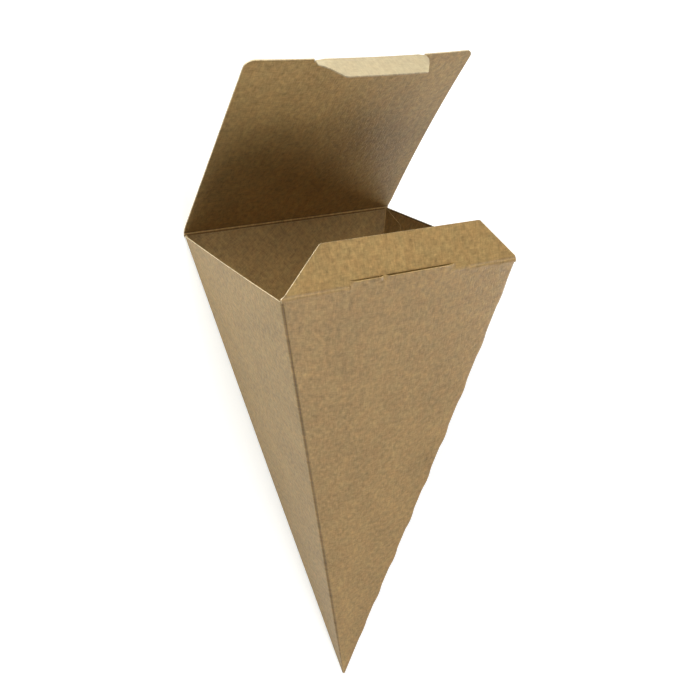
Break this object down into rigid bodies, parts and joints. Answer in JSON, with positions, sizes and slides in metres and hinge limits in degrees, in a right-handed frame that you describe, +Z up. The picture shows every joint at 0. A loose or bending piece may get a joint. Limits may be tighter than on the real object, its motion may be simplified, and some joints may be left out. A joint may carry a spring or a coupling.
{
  "type": "cone box with lid",
  "caption": "Four-sided kraft board cone box with an open hinged lid, locking tongue and slit front flap, lying on its back panel.",
  "frame": {"origin": "centroid of the back panel's outside face, on the floor that it lies on", "axes": "+X to the right as seen from the mouth with the lid behind, +Y from the blunt tip to the mouth, +Z up from the back panel to the front panel"},
  "size_m": [0.087, 0.2458, 0.083],
  "materials": {
    "kraft_board": "uncoated brown kraft board, matt, with fine fibre flecks"
  },
  "bodies": {
    "cone": {"cone_body": "kraft_board"},
    "lid": {"lid": "kraft_board"},
    "tongue": {"lock_tongue": "kraft_board"},
    "flap": {"front_flap": "kraft_board"}
  },
  "joints": [
    {"name": "lid_hinge", "type": "hinge", "parent": "cone", "child": "lid", "pos_m": [0, 0.06546, 0.00022], "axis": [1, 0, 0], "range_deg": [-52.5, 49.34]},
    {"name": "tongue_hinge", "type": "hinge", "parent": "lid", "child": "tongue", "pos_m": [0, 0.11595, 0.06602], "axis": [1, 0, 0], "range_deg": [-28.13, 26.44]},
    {"name": "flap_hinge", "type": "hinge", "parent": "cone", "child": "flap", "pos_m": [0, 0.04761, 0.08184], "axis": [-1, 0, 0], "range_deg": [-80.48, 75.64]}
  ],
  "couplings": [
    {"joint": "tongue_hinge", "follows": "lid_hinge", "ratio": 0.5338},
    {"joint": "flap_hinge", "follows": "lid_hinge", "ratio": 1.531}
  ]
}
